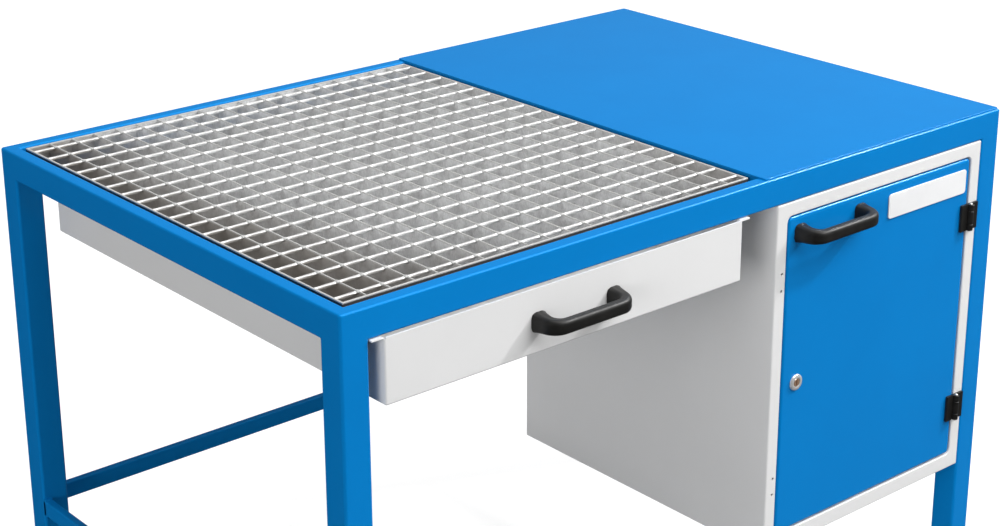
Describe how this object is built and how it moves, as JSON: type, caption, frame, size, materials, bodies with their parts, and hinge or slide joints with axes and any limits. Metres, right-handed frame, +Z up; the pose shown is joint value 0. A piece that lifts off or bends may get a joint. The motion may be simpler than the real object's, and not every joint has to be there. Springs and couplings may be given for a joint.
{
  "type": "grating table",
  "caption": "Steel table with a lift-out grating over a wide shallow drawer, a sheet top beside it and a lockable side cabinet with a hinged door, on square legs.",
  "frame": {"origin": "on the floor, under the centre of the box round the whole table with its handles", "axes": "+X along the width from the grating to the cabinet, +Y from the front to the back, +Z up"},
  "size_m": [1.2, 0.8454, 0.8523],
  "materials": {
    "blue_paint": "smooth satin powder coat",
    "grey_paint": "smooth satin powder coat",
    "galvanised_steel": "hot-dip galvanised, uneven satin",
    "black_plastic": "fine matt grain",
    "zinc_steel": "bright zinc plating",
    "chrome": "polished chrome plating",
    "white_plate": "smooth semi-gloss"
  },
  "bodies": {
    "table": {"leg_front_left": "blue_paint", "leg_front_right": "blue_paint", "leg_back_left": "blue_paint", "leg_back_right": "blue_paint", "top_rail_front": "blue_paint", "top_rail_right": "blue_paint", "top_rail_back": "blue_paint", "top_rail_left": "blue_paint", "cross_rail": "blue_paint", "lower_rail_right": "blue_paint", "lower_rail_back": "blue_paint", "lower_rail_left": "blue_paint", "grating_ledge_front": "blue_paint", "grating_ledge_back": "blue_paint", "side_top": "blue_paint", "runner_left": "galvanised_steel", "runner_right": "galvanised_steel", "cabinet": "grey_paint", "hinge_upper_frame_leaf": "black_plastic", "hinge_lower_frame_leaf": "black_plastic", "hinge_upper_pin": "zinc_steel", "hinge_lower_pin": "zinc_steel"},
    "grating": {"grating": "galvanised_steel"},
    "drawer": {"drawer_bottom": "grey_paint", "drawer_front": "grey_paint", "drawer_back": "grey_paint", "drawer_side_left": "grey_paint", "drawer_side_right": "grey_paint", "drawer_handle": "black_plastic", "drawer_handle_screw_left": "zinc_steel", "drawer_handle_screw_right": "zinc_steel"},
    "door": {"door": "blue_paint", "door_handle": "black_plastic", "door_handle_screw_left": "zinc_steel", "door_handle_screw_right": "zinc_steel", "door_plate": "white_plate", "hinge_upper_door_leaf": "black_plastic", "hinge_lower_door_leaf": "black_plastic", "lock_housing": "chrome", "lock_nut": "zinc_steel"},
    "lock": {"lock_plug": "chrome", "lock_cam": "zinc_steel"}
  },
  "joints": [
    {"name": "grating_lift", "type": "slide", "parent": "table", "child": "grating", "axis": [0, 0, 1], "range_m": [0, 0.1]},
    {"name": "drawer_slide", "type": "slide", "parent": "table", "child": "drawer", "axis": [0, -1, 0], "range_m": [0, 0.5]},
    {"name": "door_hinge", "type": "hinge", "parent": "table", "child": "door", "pos_m": [0.5382, -0.38285, 0.5487], "axis": [0, 0, 1], "range_deg": [0, 170]},
    {"name": "lock_turn", "type": "hinge", "parent": "door", "child": "lock", "pos_m": [0.1712, -0.37735, 0.5387], "axis": [0, 1, 0], "range_deg": [0, 90]}
  ]
}
